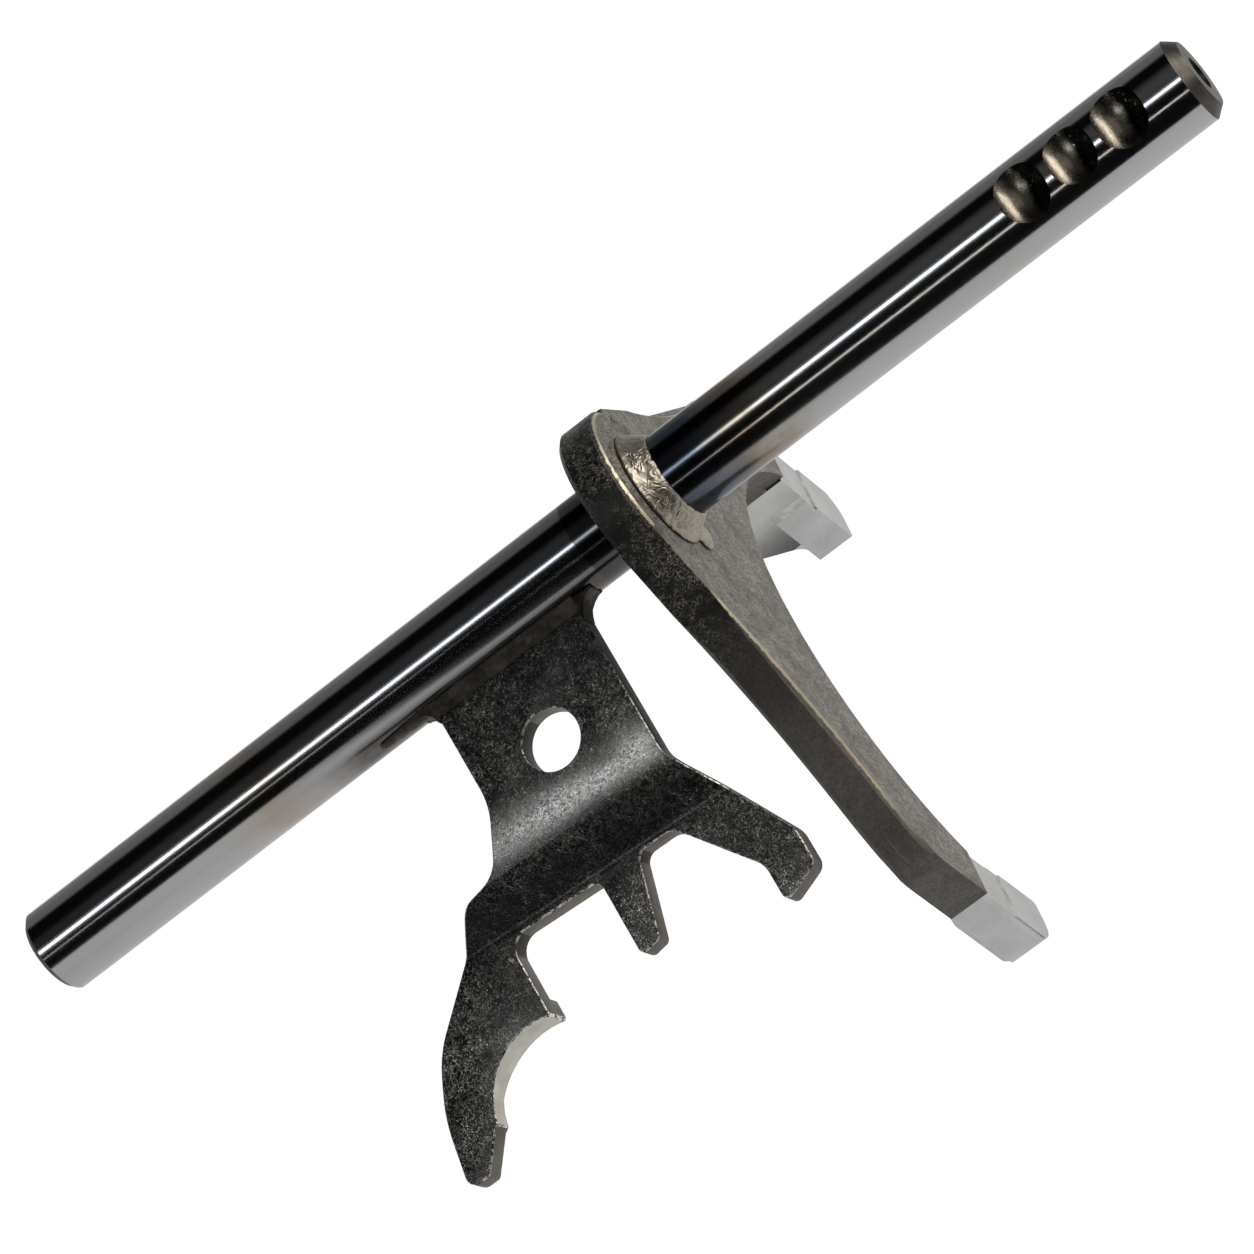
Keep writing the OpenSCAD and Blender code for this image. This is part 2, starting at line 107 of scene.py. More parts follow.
let_go()
turned_len = DETENT_END - NOSE_LEN - PLAIN_END
bpy.ops.mesh.primitive_cylinder_add(
    vertices=360, radius=RAIL_R, depth=turned_len, end_fill_type="NGON",
    location=(PLAIN_END + turned_len / 2, 0, 0), rotation=(0, math.radians(90), 0))
rail = bpy.context.object
rail.name = rail.data.name = "ground_rail"
bpy.ops.object.transform_apply(location=True, rotation=True, scale=True)
pick_faces(rail, lambda f: f.normal.x < -FACING)
bpy.ops.mesh.bevel(offset=PLAIN_CHAMFER, offset_type="OFFSET", segments=1, affect="EDGES")
pick_faces(rail, lambda f: f.normal.x > FACING)
bpy.ops.mesh.extrude_region_move(TRANSFORM_OT_translate={"value": (NOSE_LEN, 0, 0)})
nose_face = Vector((DETENT_END, 0, 0))
nose_scale = (RAIL_R - NOSE_DEPTH) / RAIL_R
bpy.ops.transform.resize(value=(1, nose_scale, nose_scale), center_override=nose_face)
bpy.ops.mesh.inset(thickness=RAIL_R - NOSE_DEPTH - CENTRE_R)
cone_len = (CENTRE_R - PILOT_R) / math.tan(CENTRE_SLOPE)
bpy.ops.mesh.extrude_region_move(TRANSFORM_OT_translate={"value": (-cone_len, 0, 0)})
cone_end = Vector((DETENT_END - cone_len, 0, 0))
pilot_scale = PILOT_R / CENTRE_R
bpy.ops.transform.resize(value=(1, pilot_scale, pilot_scale), center_override=cone_end)
bpy.ops.mesh.extrude_region_move(TRANSFORM_OT_translate={"value": (cone_len - PILOT_DEEP, 0, 0)})
bpy.ops.object.mode_set(mode="OBJECT")

# The milling wheel is a ring with a round rim. One is set over each notch, and all three are cut away.
notch_at = [NOTCH_OUTER - number * NOTCH_PITCH for number in range(len(NOTCH_DEEP))]
wheels = []
for notch_x, deep in zip(notch_at, NOTCH_DEEP):
    up = RAIL_R - deep + WHEEL_R
    let_go()
    bpy.ops.mesh.primitive_torus_add(
        major_radius=WHEEL_R - WHEEL_RIM, minor_radius=WHEEL_RIM, major_segments=160, minor_segments=96,
        location=(notch_x, -up * math.sin(NOTCH_TURN), up * math.cos(NOTCH_TURN)),
        rotation=(0, math.radians(90), 0))
    bpy.ops.object.transform_apply(location=True, rotation=True, scale=True)
    wheels.append(bpy.context.object)
for wheel in wheels:
    cut = rail.modifiers.new("notch", "BOOLEAN")
    cut.operation, cut.solver, cut.object = "DIFFERENCE", "EXACT", wheel
apply_all(rail)
for wheel in wheels:
    bpy.data.objects.remove(wheel)


class Finish:
    """A surface finish as it is mixed: its material, its shader and the Object coordinates it reads."""

    def __init__(self, name, metal=True):
        self.material = bpy.data.materials.new(name)
        self.material.use_nodes = True
        self.nodes, self.links = self.material.node_tree.nodes, self.material.node_tree.links
        self.shader = self.nodes["Principled BSDF"]
        self.where = self.nodes.new("ShaderNodeTexCoord").outputs["Object"]
        if metal:
            self.shader.inputs["Metallic"].default_value = 1.0

    def axis(self, name):
        """One of the three Object coordinates."""
        node = self.nodes.new("ShaderNodeSeparateXYZ")
        self.links.new(self.where, node.inputs[0])
        return node.outputs[name]

    def reach(self, direction):
        """How far a place lies from the origin along a direction."""
        node = self.nodes.new("ShaderNodeVectorMath")
        node.operation = "DOT_PRODUCT"
        node.inputs[1].default_value = direction
        self.links.new(self.where, node.inputs[0])
        return node.outputs["Value"]

    def grain(self, size, stretch=(1, 1, 1), detail=4.0, rough=0.6, twist=0.0):
        """Noise with grains of the given size in metres, drawn out by stretch along each axis."""
        spread = self.nodes.new("ShaderNodeMapping")
        spread.inputs["Scale"].default_value = [1 / (size * s) for s in stretch]
        self.links.new(self.where, spread.inputs["Vector"])
        noise = self.nodes.new("ShaderNodeTexNoise")
        numbers = {"Scale": 1.0, "Detail": detail, "Roughness": rough, "Distortion": twist}
        for socket, number in numbers.items():
            noise.inputs[socket].default_value = number
        self.links.new(spread.outputs["Vector"], noise.inputs["Vector"])
        return noise.outputs["Fac"]

    def worms(self, size, thick, detail, twist):
        """Thin winding ridges about size apart, 1 along the crest and 0 beside it."""
        wave = self.grain(size, detail=detail, rough=0.5, twist=twist)
        off_crest = self.reckon("ABSOLUTE", self.reckon("SUBTRACT", wave, 0.5), 0)
        return self.span(off_crest, 0.0, thick, 1.0, 0.0)

    def span(self, value, low, high, out_low=0.0, out_high=1.0):
        """Maps value from low..high to out_low..out_high and holds it there beyond."""
        node = self.nodes.new("ShaderNodeMapRange")
        numbers = {"From Min": low, "From Max": high, "To Min": out_low, "To Max": out_high}
        for socket, number in numbers.items():
            node.inputs[socket].default_value = number
        self.links.new(value, node.inputs["Value"])
        return node.outputs["Result"]

    def band(self, value, rise, fall, most=1.0):
        """Comes up to most between the two places of rise, and back to 0 between those of fall."""
        return self.times(self.span(value, *rise, 0, most), self.span(value, *fall, 1, 0))

    def reckon(self, how, first, second):
        """One sum of two values, either of which may be a number."""
        node = self.nodes.new("ShaderNodeMath")
        node.operation = how
        for socket, value in zip(node.inputs, (first, second)):
            if isinstance(value, (int, float)):
                socket.default_value = value
            else:
                self.links.new(value, socket)
        return node.outputs[0]

    def times(self, first, *others):
        """The product of two or more values."""
        for other in others:
            first = self.reckon("MULTIPLY", first, other)
        return first

    def plus(self, first, second):
        """Two values added up."""
        return self.reckon("ADD", first, second)

    def tint(self, amount, below, above):
        """Colour below where amount is 0, colour above where it is 1."""
        node = self.nodes.new("ShaderNodeMix")
        node.data_type = "RGBA"
        self.links.new(amount, node.inputs[0])
        for socket, colour in ((node.inputs[6], below), (node.inputs[7], above)):
            if isinstance(colour, tuple):
                socket.default_value = (*colour, 1)
            else:
                self.links.new(colour, socket)
        return node.outputs[2]

    def join(self, value, socket):
        """Lets a value drive one of the shader's sockets."""
        self.links.new(value, self.shader.inputs[socket])

    def paint(self, colour):
        """The finish's colour."""
        self.join(colour, "Base Color")

    def roughen(self, pattern, smooth, dull, low=0.3, high=0.7):
        """Roughness from smooth where the pattern is low to dull where it is high."""
        self.join(self.span(pattern, low, high, smooth, dull), "Roughness")

    def emboss(self, height, depth):
        """Relief of the given depth in metres for a height of 1. A height in metres takes a depth of 1."""
        node = self.nodes.new("ShaderNodeBump")
        node.inputs["Strength"].default_value = 1.0
        node.inputs["Distance"].default_value = depth
        self.links.new(height, node.inputs["Height"])
        self.join(node.outputs["Normal"], "Normal")


def set_stops(ramp, stops):
    """Puts colours on a ramp, each at its place from 0 to 1."""
    for number, (place, colour) in enumerate(stops):
        stop = ramp.elements[number] if number < 2 else ramp.elements.new(place)
        stop.position, stop.color = place, (*colour, 1)


# Ground steel: bright, with the welds' heat colours along it. A band under and just behind the fork is
# painted dark as painted shade, and it is sooty in a strip along the gate's weld.
BRIGHT = (0.50, 0.50, 0.505)
SMUDGED = (0.40, 0.385, 0.36)
FORK_SHADE = (0.065, 0.066, 0.072)
WELD_SOOT = (0.085, 0.078, 0.072)
HEAT_FROM, HEAT_TO, HEAT_WANDER = -0.10, 0.05, 0.0035
HEAT = (
    (-0.0920, BRIGHT), (-0.0860, (0.49, 0.46, 0.425)), (-0.0800, (0.44, 0.385, 0.34)),
    (-0.0740, (0.44, 0.43, 0.43)), (-0.0600, (0.45, 0.45, 0.46)), (-0.0400, (0.40, 0.405, 0.42)),
    (-0.0150, (0.33, 0.335, 0.36)), (-0.0060, (0.20, 0.205, 0.22)), (0.0040, (0.050, 0.056, 0.070)),
    (0.0120, (0.062, 0.078, 0.112)), (0.0165, (0.095, 0.115, 0.155)), (0.0205, (0.20, 0.185, 0.175)),
    (0.0240, (0.29, 0.235, 0.19)), (0.0290, (0.43, 0.40, 0.37)), (0.0360, BRIGHT))
SHADE_RISE, SHADE_FALL, SHADE = (-0.01128, -0.01112), (0.0, 0.001), 0.78
SOOT_REACH, SOOT_START, SOOT_END, SOOT = (0.0062, 0.0071), (-0.076, -0.062), (-0.010, -0.004), 0.9
GATE_TILT = math.radians(16.7)
GATE_OUT = Vector((0, -math.cos(GATE_TILT), -math.sin(GATE_TILT)))

ground = Finish("ground_rail_steel")
along = ground.axis("X")
patch = ground.grain(0.006, (1.6, 1, 1), detail=3)
heat_at = ground.plus(along, ground.span(patch, 0.3, 0.7, -HEAT_WANDER, HEAT_WANDER))
heat = ground.nodes.new("ShaderNodeValToRGB")
heat_len = HEAT_TO - HEAT_FROM
set_stops(heat.color_ramp, [((place - HEAT_FROM) / heat_len, colour) for place, colour in HEAT])
ground.links.new(ground.span(heat_at, HEAT_FROM, HEAT_TO), heat.inputs["Fac"])
smudge = ground.grain(0.011, (2.5, 1, 1), detail=5, rough=0.65)
worn_and_shaded = ground.tint(ground.span(smudge, 0.45, 0.75, 0, 0.35), heat.outputs["Color"], SMUDGED)
# Painted shade: the band under and just behind the fork is darkened.
worn_and_shaded = ground.tint(ground.band(along, SHADE_RISE, SHADE_FALL, SHADE), worn_and_shaded, FORK_SHADE)
sooted = ground.times(
    ground.span(ground.reach(GATE_OUT), *SOOT_REACH, 0, SOOT),
    ground.span(heat_at, *SOOT_START), ground.span(along, *SOOT_END, 1, 0))
ground.paint(ground.tint(sooted, worn_and_shaded, WELD_SOOT))
lines = ground.grain(0.00012, (1, 60, 60), detail=2, rough=0.5)
ground.roughen(ground.plus(smudge, ground.times(lines, 0.3)), 0.10, 0.16, 0.4, 1.0)
ground.emboss(lines, 0.0000002)

# Turned steel, dirty, on the chamfer, the nose and both end faces.
TURNED_CLEAN, TURNED_DIRTY = (0.105, 0.097, 0.087), (0.065, 0.060, 0.053)
turned = Finish("turned_rail_end")
rings = turned.grain(0.00018, (1, 30, 30), detail=2, rough=0.5)
dirt = turned.grain(0.0025, detail=5, rough=0.65)
turned.paint(turned.tint(turned.span(dirt, 0.4, 0.7), TURNED_CLEAN, TURNED_DIRTY))
turned.roughen(rings, 0.34, 0.48)
turned.emboss(rings, 0.000004)

# The centre hole is full of old oil.
HOLE_STEEL, HOLE_OIL = (0.035, 0.033, 0.03), (0.012, 0.011, 0.010)
drilled = Finish("oily_centre_hole")
film = drilled.grain(0.0012)
drilled.paint(drilled.tint(drilled.span(film, 0.35, 0.7), HOLE_STEEL, HOLE_OIL))
drilled.roughen(film, 0.3, 0.45)

# The notches are scraped by the detent balls. The half of each that is nearer the drilled end is painted
# dark as painted shade.
NOTCH_CLEAN, NOTCH_STAINED = (0.32, 0.288, 0.238), (0.23, 0.206, 0.17)
NOTCH_PAINTED_SHADE, NOTCH_NICK = (0.016, 0.015, 0.014), (0.60, 0.56, 0.50)
SHADED_HALF_FROM, SHADED_HALF_FULL, SHADED_HALF_WANDER = 0.0050, 0.0062, 0.0004
milled = Finish("milled_notch")
scrape = milled.grain(0.00030, (1, 2.5, 2.5), rough=0.65, twist=0.6)
stain = milled.grain(0.0016, detail=5, rough=0.65)
nick = milled.grain(0.0006, detail=2, rough=0.5)
stained_and_shaded = milled.tint(milled.span(stain, 0.35, 0.65), NOTCH_CLEAN, NOTCH_STAINED)
from_first = milled.reckon("SUBTRACT", milled.axis("X"), notch_at[-1] - NOTCH_PITCH / 2)
in_notch = milled.reckon("MODULO", from_first, NOTCH_PITCH)
shaded_half_edge = milled.plus(in_notch, milled.span(stain, 0.3, 0.7, -SHADED_HALF_WANDER, SHADED_HALF_WANDER))
# Painted shade: the half of each notch nearer the drilled end is darkened.
stained_and_shaded = milled.tint(milled.span(shaded_half_edge, SHADED_HALF_FROM, SHADED_HALF_FULL), stained_and_shaded, NOTCH_PAINTED_SHADE)
milled.paint(milled.tint(milled.span(nick, 0.68, 0.72, 0, 0.8), stained_and_shaded, NOTCH_NICK))
milled.roughen(scrape, 0.20, 0.32)
milled.emboss(scrape, 0.000022)

GROUND, TURNED, MILLED, DRILLED = range(4)
IN_HOLE, UNDER_SKIN, HAIR = CENTRE_R * 0.99, RAIL_R * 0.9992, 0.00005
plain_to, nose_from = PLAIN_END + PLAIN_CHAMFER * 1.1, DETENT_END - NOSE_LEN


def rail_finish(face):
    """Which finish a face of the rail has, by its place and the way it looks."""
    middle = face.center
    off_axis = math.hypot(middle.y, middle.z)
    if off_axis < IN_HOLE and 0 < middle.x < DETENT_END - HAIR:
        return DRILLED
    if abs(face.normal.x) > END_SLOPE and (middle.x < plain_to or middle.x > nose_from):
        return TURNED
    if off_axis < UNDER_SKIN and notch_at[-1] - NOTCH_REACH < middle.x < notch_at[0] + NOTCH_REACH:
        return MILLED
    return GROUND


def dress(piece, finishes, finish_of):
    """Puts the finishes on a piece, face by face."""
    piece.data.materials.clear()
    for finish in finishes:
        piece.data.materials.append(finish.material)
    for face in piece.data.polygons:
        face.material_index = finish_of(face)


dress(rail, (ground, turned, milled, drilled), rail_finish)
hold(rail)
bpy.ops.object.shade_smooth_by_angle(angle=math.radians(24))
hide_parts("shift_rail")
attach(rail, "root")

# Fork. A steel forging, shot-blasted, slid over the rail and welded to it on one side. It straddles the
# sleeve with two prongs. Their ends are machined to smooth pads that run in the sleeve's groove; the rest
# keeps the dark skin of the forging, with a thin rubbed line along the edge of its blasted face.
FORK_HALF = 0.00395
TIP_FROM = -0.0695
SIDE_Y, SIDE_TOP = 0.0573, -0.05106
CURVE_R, CURVE_Z = 0.0678, -0.0873
SIDE_ROUND, SIDE_RUN, SIDE_LEAN, SIDE_SKIN = 0.020, 0.00565, (0.9605, 0.278), 0.0010
SIDE_CUTS = (-0.0523, -0.0535, -0.0547, -0.0558, -0.0567)
FACE_STEP_X, FACE_STEP_Z, FACE_STEP_RISE = 0.00325, -0.0809, 0.0006
INNER_STEP_Y, INNER_STEP_Z, INNER_STEP_RISE = 0.0469, -0.0775, 0.0012
NEAR, NEAR_LEVEL = 0.00002, 0.00003


def from_solid(node, name):
    """A copy of a CAD node's mesh as one closed skin, with flat faces joined up."""
    hold(frame["nodes"][node])
    bpy.ops.object.duplicate()
    piece = bpy.context.object
    piece.name = piece.data.name = name
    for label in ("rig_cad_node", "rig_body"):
        if label in piece:
            del piece[label]
    piece.parent = None
    piece.data.materials.clear()
    bpy.ops.mesh.customdata_custom_splitnormals_clear()
    bpy.ops.object.mode_set(mode="EDIT")
    bpy.ops.mesh.select_all(action="SELECT")
    bpy.ops.mesh.remove_doubles(threshold=0.000002)
    bpy.ops.mesh.dissolve_limited(angle_limit=math.radians(0.4), use_dissolve_boundaries=False)
    bpy.ops.object.mode_set(mode="OBJECT")
    return piece


fork = from_solid("shift_fork", "forged_fork")
bpy.ops.object.mode_set(mode="EDIT")
for level in (TIP_FROM, *SIDE_CUTS):
    bpy.ops.mesh.select_all(action="SELECT")
    bpy.ops.mesh.bisect(plane_co=(0, 0, level), plane_no=(0, 0, 1))
bpy.ops.object.mode_set(mode="OBJECT")

# The outer curve of each prong runs into its straight side through a wide round.
for vert in fork.data.vertices:
    y, z = abs(vert.co.y), vert.co.z
    below = z < SIDE_TOP
    inside = SIDE_Y - y if below else CURVE_R - math.hypot(y, z - CURVE_Z)
    run = SIDE_TOP - z if below else math.hypot(y - SIDE_Y, z - SIDE_TOP)
    if inside < SIDE_SKIN and run < SIDE_RUN:
        taken = (SIDE_RUN - run) ** 2 / (2 * SIDE_ROUND)
        vert.co.y -= math.copysign(taken * SIDE_LEAN[0], vert.co.y)
        vert.co.z -= taken * SIDE_LEAN[1]

# The steps up to the pads slope: the foot of each step lies higher up the prong than its crest.
for vert in fork.data.vertices:
    on_face = abs(vert.co.x - FACE_STEP_X) < NEAR and abs(vert.co.z - FACE_STEP_Z) < NEAR_LEVEL
    on_inside = abs(abs(vert.co.y) - INNER_STEP_Y) < NEAR and abs(vert.co.z - INNER_STEP_Z) < NEAR_LEVEL
    if on_face:
        vert.co.z += FACE_STEP_RISE
    elif on_inside:
        vert.co.z += INNER_STEP_RISE

# Blasted face: pale grey steel, peened, pitted and finely cracked.
FACE_DARK, FACE_PALE = (0.25, 0.235, 0.21), (0.45, 0.427, 0.39)
FACE_PEEN, FACE_PIT, FACE_CRACK = (0.12, 0.111, 0.099), (0.13, 0.12, 0.108), (0.085, 0.078, 0.068)
blasted = Finish("blasted_fork_face")
mottle = blasted.grain(0.006, detail=6, rough=0.68, twist=0.4)
peen = blasted.grain(0.0005, (1, 0.8, 2.2), rough=0.65, twist=0.8)
pit = blasted.grain(0.0011, (1, 1, 1.8), rough=0.65, twist=0.6)
crack = blasted.worms(0.0011, 0.045, detail=2, twist=1.6)
skin = blasted.tint(blasted.span(mottle, 0.38, 0.62), FACE_DARK, FACE_PALE)
skin = blasted.tint(blasted.span(peen, 0.42, 0.62, 0, 0.7), skin, FACE_PEEN)
skin = blasted.tint(blasted.span(pit, 0.60, 0.72, 0, 0.6), skin, FACE_PIT)
blasted.paint(blasted.tint(blasted.times(crack, 0.65), skin, FACE_CRACK))
blasted.roughen(peen, 0.40, 0.56)
blasted.emboss(blasted.reckon("SUBTRACT", blasted.plus(peen, pit), crack), 0.00012)

# Forged skin: dark and glossy round the boss with raised strokes in it, painted bright as painted glints,
# browner and duller down the prongs.
BOSS_SKIN, PRONG_SKIN = (0.050, 0.048, 0.045), (0.27, 0.252, 0.228)
SKIN_MOTTLE, SKIN_PEEN, STROKE_GLINT_PAINT = (0.085, 0.079, 0.071), (0.035, 0.033, 0.030), (0.75, 0.73, 0.69)
PARTING, GOLD = (0.50, 0.48, 0.44), (0.78, 0.70, 0.53)
STROKES_END, STROKES_FULL = -0.020, -0.002
BOSS_TO, PRONG_FROM = -0.006, -0.030
PARTING_X, PARTING_FROM, PARTING_FULL = 0.0006, -0.030, -0.045
GOLD_FADE, GOLD_WANDER, GOLD_FORGED, GOLD_RUBBED = 0.00014, 0.00014, 0.00038, 0.00048
GOLD_RISE, GOLD_FALL = (-0.013, -0.007), (0.006, 0.010)
GOLD_FAINT, GOLD_FULL = -0.0505, -0.040


def forging_skin(finish):
    """The dark skin of the forging: its colour, with its gloss and relief already on the shader."""
    mottle = finish.grain(0.005, detail=6, rough=0.68, twist=0.4)
    peen = finish.grain(0.00055, rough=0.65, twist=0.8)
    high = finish.span(finish.axis("Z"), STROKES_END, STROKES_FULL, 0.05, 1.0)
    glinting_strokes = finish.times(
        finish.worms(0.0009, 0.030, detail=2, twist=1.5), finish.span(mottle, 0.44, 0.58, 0.1, 1.0), high)
    low = finish.span(finish.axis("Z"), BOSS_TO, PRONG_FROM)
    skin = finish.tint(low, BOSS_SKIN, PRONG_SKIN)
    skin = finish.tint(finish.span(mottle, 0.40, 0.70, 0, 0.5), skin, SKIN_MOTTLE)
    skin = finish.tint(finish.span(peen, 0.45, 0.7, 0, 0.5), skin, SKIN_PEEN)
    gloss = finish.span(peen, 0.3, 0.7, 0.30, 0.44)
    finish.join(finish.plus(gloss, finish.times(low, 0.18)), "Roughness")
    finish.emboss(finish.plus(peen, finish.times(glinting_strokes, 0.7)), 0.00010)
    finish.join(finish.span(low, 0.0, 1.0, 1.0, 0.25), "Metallic")
    # The strokes' bright colour is painted glint on their raised relief.
    return finish.tint(finish.times(glinting_strokes, 0.8), skin, STROKE_GLINT_PAINT)


def rubbed_line(finish, wide):
    """The gold line along the edge of the blasted face, wide metres across, with a nibbled border."""
    nibble = finish.grain(0.0010, rough=0.65, twist=0.6)
    edge = finish.plus(finish.axis("X"), finish.span(nibble, 0.3, 0.7, -GOLD_WANDER, GOLD_WANDER))
    return finish.span(edge, FORK_HALF - wide, FORK_HALF - wide + GOLD_FADE)


# On the prongs the skin still shows the thin broken line where the two dies parted.
forged = Finish("forged_fork_skin", metal=False)
off_parting = forged.reckon("ABSOLUTE", forged.plus(forged.axis("X"), PARTING_X), 0)
broken = forged.span(forged.grain(0.004, rough=0.65), 0.48, 0.60)
parting = forged.times(
    forged.span(off_parting, 0.00004, 0.00014, 0.75, 0.0), broken,
    forged.span(forged.axis("Z"), PARTING_FROM, PARTING_FULL))
gold = forged.times(rubbed_line(forged, GOLD_FORGED), forged.band(forged.axis("Z"), GOLD_RISE, GOLD_FALL))
skin = forged.tint(parting, forging_skin(forged), PARTING)
forged.paint(forged.tint(gold, skin, GOLD))

rubbed = Finish("rubbed_fork_edge", metal=False)
gold = rubbed.times(
    rubbed_line(rubbed, GOLD_RUBBED), rubbed.span(rubbed.axis("Z"), GOLD_FAINT, GOLD_FULL, 0.1, 1.0))
rubbed.paint(rubbed.tint(gold, forging_skin(rubbed), GOLD))

# Machined prong ends, with the faint sweep of the cutter across them, and their burnished edges and steps.
END_PALE, END_GREY = (0.60, 0.605, 0.61), (0.50, 0.50, 0.50)
machined = Finish("machined_fork_end")
sweep = machined.grain(0.00022, (40, 40, 1), detail=2, rough=0.5)
cloud = machined.grain(0.007)
machined.paint(machined.tint(machined.span(cloud, 0.35, 0.7), END_PALE, END_GREY))
machined.roughen(sweep, 0.24, 0.34)
machined.emboss(sweep, 0.000002)

EDGE_GREY, EDGE_BRIGHT = (0.52, 0.50, 0.47), (0.74, 0.72, 0.69)
burnished = Finish("burnished_end_edge")
smear = burnished.grain(0.002)
burnished.paint(burnished.tint(burnished.span(smear, 0.4, 0.65), EDGE_GREY, EDGE_BRIGHT))
burnished.roughen(smear, 0.38, 0.46)

# The inner side of the far heel is swept hollow by the cutter, so its sheen runs from pale to dark.
HEEL_PALE, HEEL_GREY = (0.64, 0.64, 0.62), (0.57, 0.57, 0.55)
SCOOP_FROM, SCOOP_TO, SCOOP_DEEP = -0.066, -0.087, 0.0062
scooped = Finish("scooped_heel_side")
cloud = scooped.grain(0.006, detail=3)
scooped.paint(scooped.tint(scooped.span(cloud, 0.35, 0.7), HEEL_PALE, HEEL_GREY))
scooped.roughen(cloud, 0.26, 0.32)
down = scooped.span(scooped.axis("Z"), SCOOP_FROM, SCOOP_TO)
scooped.emboss(scooped.times(down, down), SCOOP_DEEP)

BLASTED, FORGED, RUBBED, MACHINED, BURNISHED, SCOOPED = range(6)
HEEL_FROM, EDGE_FROM, TOUCH = -FORK_HALF - 0.0003, FORK_HALF - 0.001, 0.0000005
INNER_LIP, OUTER_LIP = 0.0165, 0.0132
STEPS_LOW, STEPS_HIGH, STEP_SLOPE = -0.0812, -0.0765, 0.15
EDGE_SLOPE = 0.4


def fork_finish(face):
    """Which finish a face of the fork has, by its place and the way it looks."""
    middle, n = face.center, face.normal
    on_heel = middle.x < HEEL_FROM
    if on_heel and n.y < -FACING and middle.y > 0:
        return SCOOPED
    if STEPS_LOW < middle.z < STEPS_HIGH and abs(n.z) > STEP_SLOPE:
        return BURNISHED
    if on_heel or middle.z < TIP_FROM - TOUCH:
        return MACHINED
    faces_rail = n.y * middle.y + n.z * middle.z < 0
    in_channel = math.hypot(middle.y, middle.z) < (INNER_LIP if faces_rail else OUTER_LIP)
    if n.x > FACING or (n.x > EDGE_SLOPE and in_channel):
        return BLASTED
    if n.x > EDGE_SLOPE and middle.x > EDGE_FROM:
        return RUBBED
    return FORGED


dress(fork, (blasted, forged, rubbed, machined, burnished, scooped), fork_finish)

# The machined edges of the prongs are dressed with a file, which leaves a thin bright line along them. The
# lips of the channel round the weld flow into the face.
FILE_CUT, FILE_TURN = 0.00014, math.radians(25)
DRESSED_TO, STEP_EDGES_LOW, STEP_EDGES_HIGH = TIP_FROM - 0.0001, -0.0816, -0.0758
LIP_R, LIP_FROM, LIP_TO = 0.0160, 0.0010, FORK_HALF + 0.0001
faces_of = {}
for face in fork.data.polygons:
    for key in face.edge_keys:
        faces_of.setdefault(key, []).append(face)
dressed = fork.data.attributes.new("dressed", "FLOAT", "EDGE")
for edge in fork.data.edges:
    levels = [fork.data.vertices[number].co.z for number in edge.vertices]
    sides = faces_of.get(edge.key, [])
    if len(sides) != 2:
        continue
    turns = sides[0].normal.angle(sides[1].normal, 0) > FILE_TURN
    on_step = STEP_EDGES_LOW < min(levels) and max(levels) < STEP_EDGES_HIGH
    if turns and max(levels) < DRESSED_TO and not on_step:
        dressed.data[edge.index].value = 1.0
ease = fork.modifiers.new("dressed", "BEVEL")
ease.limit_method, ease.edge_weight = "WEIGHT", "dressed"
ease.width, ease.segments, ease.material = FILE_CUT, 2, BURNISHED
apply_all(fork)
bpy.ops.object.shade_smooth_by_angle(angle=math.radians(30))
for edge in fork.data.edges:
    ends = [fork.data.vertices[number].co for number in edge.vertices]
    if LIP_FROM < min(co.x for co in ends) < LIP_TO and max(math.hypot(co.y, co.z) for co in ends) < LIP_R:
        edge.use_edge_sharp = False
even = fork.modifiers.new("even_shading", "WEIGHTED_NORMAL")
even.mode, even.keep_sharp = "FACE_AREA", True
apply_all(fork)
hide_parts("shift_fork")
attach(fork, "root")

# Fork weld. A fillet laid by hand round the rail on the fork's detent side, left open below the rail,
# with a drop of metal where the torch stopped at each end. It is brushed, so its ripples shine.
BEAD_SKIN, BEAD_PASSES, BEAD_SWELL, BEAD_LEVEL = 0.00028, 14, 0.00018, 0.6
BEAD_PALE, BEAD_SOOT, BEAD_CREST = (0.36, 0.325, 0.27), (0.22, 0.20, 0.17), (0.62, 0.57, 0.47)
ripple = bpy.data.textures.new("weld_ripple", "CLOUDS")
ripple.noise_scale, ripple.noise_depth = 0.0016, 2


def lay_weld(node, name, skin, passes, swell, level):
    """A weld from its solid, with an even skin, smoothed in passes and rippled by swell about a level."""
    run = from_solid(node, name)
    remesh = run.modifiers.new("even_skin", "REMESH")
    remesh.mode, remesh.voxel_size = "VOXEL", skin
    flow = run.modifiers.new("flow", "SMOOTH")
    flow.factor, flow.iterations = 0.5, passes
    pile = run.modifiers.new("ripple", "DISPLACE")
    pile.texture, pile.texture_coords, pile.strength, pile.mid_level = ripple, "LOCAL", swell, level
    apply_all(run)
    return run


bead = lay_weld("fork_weld", "fork_weld_bead", BEAD_SKIN, BEAD_PASSES, BEAD_SWELL, BEAD_LEVEL)
weld = Finish("brushed_weld")
ripples = weld.worms(0.0017, 0.20, detail=0.5, twist=1.6)
fine = weld.grain(0.0008, detail=2, rough=0.5, twist=1.5)
soot = weld.grain(0.004, detail=5, rough=0.65)
skin = weld.tint(weld.span(soot, 0.36, 0.68), BEAD_PALE, BEAD_SOOT)
weld.paint(weld.tint(weld.times(ripples, 0.4), skin, BEAD_CREST))
weld.roughen(fine, 0.30, 0.40)
weld.emboss(weld.plus(ripples, weld.times(fine, 0.4)), 0.00005)
bead.data.materials.append(weld.material)
bpy.ops.object.shade_smooth()
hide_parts("fork_weld")
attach(bead, "root")

